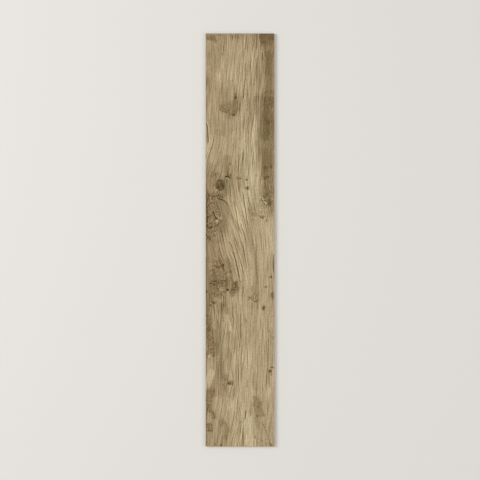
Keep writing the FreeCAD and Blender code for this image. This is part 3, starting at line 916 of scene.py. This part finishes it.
def add_node(tree, kind, inputs=None, stops=(), **settings):
    """Adds a node with its settings, inputs and colour stops.

    An input takes a value, or a link from a socket or from a node's first output.
    """
    made = tree.nodes.new(kind)
    for name, value in settings.items():
        setattr(made, name, value)
    for name, value in (inputs or {}).items():
        if isinstance(value, bpy.types.Node):
            value = value.outputs[0]
        if isinstance(value, bpy.types.NodeSocket):
            tree.links.new(value, made.inputs[name])
        else:
            made.inputs[name].default_value = value
    elements = made.color_ramp.elements if stops else ()
    while len(elements) < len(stops):
        elements.new(1.0)
    for element, (place, colour) in zip(elements, stops):
        element.position = place
        element.color = linear(colour)
    return made


def start_material(name):
    """A node material with nothing in it yet, and its tree."""
    material = bpy.data.materials.new(name)
    material.use_nodes = True
    material.node_tree.nodes.clear()
    return material, material.node_tree


glaze, tree = start_material("printed matte glaze")
printed_tone, print_warmth, side_of_check, check_shade_strength = (
    add_node(tree, "ShaderNodeAttribute", attribute_name=name).outputs["Fac"]
    for name in ("tone", "warmth", "check_side", "check_shade_tone")
)
grain_place = add_node(tree, "ShaderNodeAttribute", attribute_name="grain").outputs["Vector"]
busyness = add_node(tree, "ShaderNodeSeparateXYZ", {"Vector": grain_place}).outputs["Z"]

# Fibres, the lines between them and the open pores, as width and length in millimetres.
# In oak they are a third as wide or finer, which wouldn't show, so all three are drawn coarser.
FIBRE_SIZE = (0.8, 26.0)
LINE_SIZE = (1.05, 60.0)
PORE_SIZE = (0.55, 9.0)
FIBRE_TONE = 0.16
DARK_LINE_TONE = -0.24
PALE_LINE_TONE = 0.11
PORE_TONE = -0.06
fibre_place, line_place, pore_place = (
    add_node(
        tree, "ShaderNodeVectorMath", {0: grain_place, 1: (1 / width, 1 / length, 1)}, operation="MULTIPLY",
    )
    for width, length in (FIBRE_SIZE, LINE_SIZE, PORE_SIZE)
)
fibre = add_node(
    tree, "ShaderNodeTexNoise", {"Vector": fibre_place, "Scale": 1, "Detail": 2, "Roughness": 0.6},
    noise_dimensions="2D",
)
line_noise = add_node(
    tree, "ShaderNodeTexNoise", {"Vector": line_place, "Scale": 1, "Detail": 0}, noise_dimensions="2D",
)
pore_noise = add_node(
    tree, "ShaderNodeTexNoise", {"Vector": pore_place, "Scale": 1, "Detail": 1}, noise_dimensions="2D",
)
dark_lines = add_node(
    tree, "ShaderNodeMapRange",
    {"Value": line_noise, "From Min": 0.41, "From Max": 0.29, "To Min": 0, "To Max": DARK_LINE_TONE},
)
pale_lines = add_node(
    tree, "ShaderNodeMapRange",
    {"Value": line_noise, "From Min": 0.57, "From Max": 0.69, "To Min": 0, "To Max": PALE_LINE_TONE},
)
lines = add_node(tree, "ShaderNodeMath", {0: dark_lines, 1: pale_lines}, operation="ADD")
pore = add_node(
    tree, "ShaderNodeMapRange",
    {"Value": pore_noise, "From Min": 0.60, "From Max": 0.72, "To Min": 0, "To Max": 1},
)

# The gap of a check is dark with painted shade and the lip beside it is light with a painted highlight, as
# lit from the left and as the tile's print carries them, and both have ragged edges.
# Their places are counted in half widths from the middle of the check.
RAGGED = 0.9
GAP_EDGE = (1.5, 0.6)     # where the gap starts and where it is reached in full
LIP_MIDDLE = 2.4
LIP_EDGE = (1.3, 0.3)     # the same for the lip, from its own middle
LIP_SHARE = 0.35          # the lip's tone as a share of the gap's
ragged = add_node(tree, "ShaderNodeMath", {0: fibre, 1: RAGGED, 2: -RAGGED / 2}, operation="MULTIPLY_ADD")
ragged_side = add_node(tree, "ShaderNodeMath", {0: side_of_check, 1: ragged}, operation="ADD")
off_gap = add_node(tree, "ShaderNodeMath", {0: ragged_side}, operation="ABSOLUTE")
gap = add_node(
    tree, "ShaderNodeMapRange",
    {"Value": off_gap, "From Min": GAP_EDGE[0], "From Max": GAP_EDGE[1], "To Min": 0, "To Max": 1},
)
past_lip = add_node(tree, "ShaderNodeMath", {0: ragged_side, 1: LIP_MIDDLE}, operation="SUBTRACT")
off_lip = add_node(tree, "ShaderNodeMath", {0: past_lip}, operation="ABSOLUTE")
lip_highlight = add_node(
    tree, "ShaderNodeMapRange",
    {"Value": off_lip, "From Min": LIP_EDGE[0], "From Max": LIP_EDGE[1], "To Min": 0, "To Max": LIP_SHARE},
)
# Lip less gap: the painted highlight and the painted shade of a check, together.
check = add_node(tree, "ShaderNodeMath", {0: lip_highlight, 1: gap}, operation="SUBTRACT")

# Each mark changes the tone by its strength, and the tone then picks the colour in two inks.
centred_fibre = add_node(tree, "ShaderNodeMath", {0: fibre, 1: 0.5}, operation="SUBTRACT")
marks = ((check, check_shade_strength), (centred_fibre, FIBRE_TONE), (lines, busyness), (pore, PORE_TONE))
full_tone = printed_tone
for mark, strength in marks:
    full_tone = add_node(
        tree, "ShaderNodeMath", {0: mark, 1: strength, 2: full_tone}, operation="MULTIPLY_ADD",
    )
OLIVE_INK = (
    (0.10, "#2A1900"),
    (0.24, "#4D3C14"),
    (0.43, "#7E6D45"),
    (0.61, "#AC9B74"),
    (0.71, "#C5B48C"),
    (0.85, "#E9D8B2"),
)
RED_INK = (
    (0.10, "#2F1600"),
    (0.24, "#523916"),
    (0.43, "#836A47"),
    (0.61, "#B19876"),
    (0.71, "#CAB18E"),
    (0.85, "#EED5B4"),
)
olive_ink = add_node(tree, "ShaderNodeValToRGB", {"Fac": full_tone}, OLIVE_INK)
red_ink = add_node(tree, "ShaderNodeValToRGB", {"Fac": full_tone}, RED_INK)
print_colour = add_node(
    tree, "ShaderNodeMixRGB", {"Fac": print_warmth, "Color1": olive_ink, "Color2": red_ink},
)
dryness = add_node(
    tree, "ShaderNodeMapRange",
    {"Value": fibre, "From Min": 0.3, "From Max": 0.7, "To Min": 0.68, "To Max": 0.54},
)
GLAZE_IOR = 1.5           # a glaze is glass
GLAZE_SHEEN = 0.3         # less than glass has, because the fired surface is dry
PORE_DENT = -0.6          # depth of a pore, with the height of a fibre as 1
height = add_node(tree, "ShaderNodeMath", {0: pore, 1: PORE_DENT, 2: fibre}, operation="MULTIPLY_ADD")
bump = add_node(tree, "ShaderNodeBump", {"Height": height, "Strength": 0.5, "Distance": 0.15 * MM})
shader = add_node(
    tree, "ShaderNodeBsdfPrincipled",
    {
        "Base Color": print_colour, "Roughness": dryness, "Normal": bump,
        "IOR": GLAZE_IOR, "Specular IOR Level": GLAZE_SHEEN,
    },
)
add_node(tree, "ShaderNodeOutputMaterial", {"Surface": shader})

# The ground sides
# A diamond wheel squares the fired tile and breaks its edge, cutting through glaze and body alike.
# It bares pale fine-grained porcelain, dull, with faint wheel lines along the edge that catch the light.
ground, tree = start_material("ground porcelain")
place = add_node(tree, "ShaderNodeTexCoord").outputs["Object"]
GRIT = (0.7, 0.7, 0.7)        # grains of the body, drawn about twice as coarse so that they show
WHEEL_LINE = (9.0, 9.0, 0.4)  # a line left by the wheel: long along either side, and low
grit_place, wheel_place = (
    add_node(
        tree, "ShaderNodeVectorMath",
        {0: place, 1: [1 / (side * MM) for side in sizes]}, operation="MULTIPLY",
    )
    for sizes in (GRIT, WHEEL_LINE)
)
grit = add_node(tree, "ShaderNodeTexNoise", {"Vector": grit_place, "Scale": 1, "Detail": 2})
wheel = add_node(tree, "ShaderNodeTexNoise", {"Vector": wheel_place, "Scale": 1, "Detail": 1})
BODY_COLOUR = ((0.30, "#9C8B70"), (0.55, "#B5A588"), (0.75, "#C4B69C"))
body = add_node(tree, "ShaderNodeValToRGB", {"Fac": grit}, BODY_COLOUR)
ground_sheen = add_node(
    tree, "ShaderNodeMapRange",
    {"Value": wheel, "From Min": 0.3, "From Max": 0.7, "To Min": 0.68, "To Max": 0.52},
)
WHEEL_DEPTH = 1.5         # depth of the wheel lines, with that of the grit as 1
ground_height = add_node(
    tree, "ShaderNodeMath", {0: wheel, 1: WHEEL_DEPTH, 2: grit}, operation="MULTIPLY_ADD",
)
bump = add_node(tree, "ShaderNodeBump", {"Height": ground_height, "Strength": 0.3, "Distance": 0.1 * MM})
shader = add_node(
    tree, "ShaderNodeBsdfPrincipled", {"Base Color": body, "Roughness": ground_sheen, "Normal": bump},
)
add_node(tree, "ShaderNodeOutputMaterial", {"Surface": shader})

# The fired back
# Bare porcelain as it came from the kiln. A chalky wash, rolled on so that the tile didn't stick to the kiln
# rollers, stayed on the ribs and on the margin, which are paler than the floors of the recesses.
fired, tree = start_material("fired porcelain back")
place = add_node(tree, "ShaderNodeTexCoord").outputs["Object"]
CLOUD = 22.0              # uneven firing and a wash that was rolled on unevenly
GRANULE = 1.4             # granules of the pressed powder, drawn three times as coarse so that they show
WASHED_TO = (0.1, 0.3)    # height above the floor up to which the wash is whole, and at which it ends
cloud_place, granule_place = (
    add_node(tree, "ShaderNodeVectorMath", {0: place, 1: (1 / (size * MM),) * 3}, operation="MULTIPLY")
    for size in (CLOUD, GRANULE)
)
cloud = add_node(tree, "ShaderNodeTexNoise", {"Vector": cloud_place, "Scale": 1, "Detail": 5})
granules = add_node(tree, "ShaderNodeTexNoise", {"Vector": granule_place, "Scale": 1, "Detail": 2})
FIRED_COLOUR = ((0.32, "#988769"), (0.52, "#A49376"), (0.72, "#AF9F84"))
WASH_COLOUR = ((0.32, "#BDB09A"), (0.52, "#CBC0AC"), (0.72, "#D6CDBC"))
body = add_node(tree, "ShaderNodeValToRGB", {"Fac": cloud}, FIRED_COLOUR)
wash = add_node(tree, "ShaderNodeValToRGB", {"Fac": cloud}, WASH_COLOUR)
level = add_node(tree, "ShaderNodeSeparateXYZ", {"Vector": place}).outputs["Z"]
washed = add_node(
    tree, "ShaderNodeMapRange",
    {"Value": level, "From Min": WASHED_TO[0] * MM, "From Max": WASHED_TO[1] * MM, "To Min": 1, "To Max": 0},
)
chalk = add_node(tree, "ShaderNodeMixRGB", {"Fac": washed, "Color1": body, "Color2": wash})
chalkiness = add_node(
    tree, "ShaderNodeMapRange",
    {"Value": granules, "From Min": 0.3, "From Max": 0.7, "To Min": 0.74, "To Max": 0.88},
)
bump = add_node(tree, "ShaderNodeBump", {"Height": granules, "Strength": 0.4, "Distance": 0.15 * MM})
shader = add_node(
    tree, "ShaderNodeBsdfPrincipled", {"Base Color": chalk, "Roughness": chalkiness, "Normal": bump},
)
add_node(tree, "ShaderNodeOutputMaterial", {"Surface": shader})

for material in (glaze, ground, fired):
    tile_mesh.materials.append(material)
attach(tile, "root")
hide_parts(TILE)

# The studio
# A plain floor, painted pale and matt, so wide that its edge is out of sight. A wide soft lamp from the
# left, a weaker one from the right and an even white sky light the tile. Sizes and places are in metres.
FLOOR_SIZE = 40.0
half = FLOOR_SIZE / 2
floor_mesh = bpy.data.meshes.new("floor")
floor_corners = [(-half, -half, 0), (half, -half, 0), (half, half, 0), (-half, half, 0)]
floor_mesh.from_pydata(floor_corners, [], [(0, 1, 2, 3)])
floor = bpy.data.objects.new("floor", floor_mesh)
floor.location.z = back_corner.z
bpy.context.scene.collection.objects.link(floor)
paint, tree = start_material("pale studio floor")
shader = add_node(tree, "ShaderNodeBsdfPrincipled", {"Base Color": linear("#E8E5DF"), "Roughness": 0.9})
add_node(tree, "ShaderNodeOutputMaterial", {"Surface": shader})
floor_mesh.materials.append(paint)

SKY_STRENGTH = 0.5
world = bpy.data.worlds.new("studio")
world.use_nodes = True
sky = world.node_tree.nodes["Background"]
sky.inputs["Color"].default_value = linear("#FFFFFF")
sky.inputs["Strength"].default_value = SKY_STRENGTH
bpy.context.scene.world = world
# Each lamp is (name, place, size, watts) and faces the middle of the tile.
LAMPS = (
    ("key", (-4.4, 1.0, 4.0), 3.0, 190),
    ("fill", (4.4, -1.0, 4.4), 3.6, 74),
)
for name, spot, size, watts in LAMPS:
    lamp = bpy.data.lights.new(name, "AREA")
    lamp.size = size
    lamp.energy = watts
    holder = bpy.data.objects.new(name, lamp)
    holder.location = spot
    holder.rotation_mode = "QUATERNION"
    holder.rotation_quaternion = (-holder.location).to_track_quat("-Z", "Y")
    bpy.context.scene.collection.objects.link(holder)

# The camera
# It looks straight down on the printed face, with the top end of the plank at the top of the picture.
# It stands as far off as a long lens needs to take in the picture's width of floor.
LENS = 85.0
SENSOR = 36.0
PICTURE_WIDTH = 1394      # millimetres that the picture spans at the level of the face
camera_data = bpy.data.cameras.new("camera")
camera_data.lens = LENS
camera_data.sensor_width = SENSOR
camera = bpy.data.objects.new("camera", camera_data)
camera.location = (0, 0, face_corner.z + PICTURE_WIDTH * MM * LENS / SENSOR)
bpy.context.scene.collection.objects.link(camera)
bpy.context.scene.camera = camera
bpy.context.scene.view_settings.view_transform = "Standard"
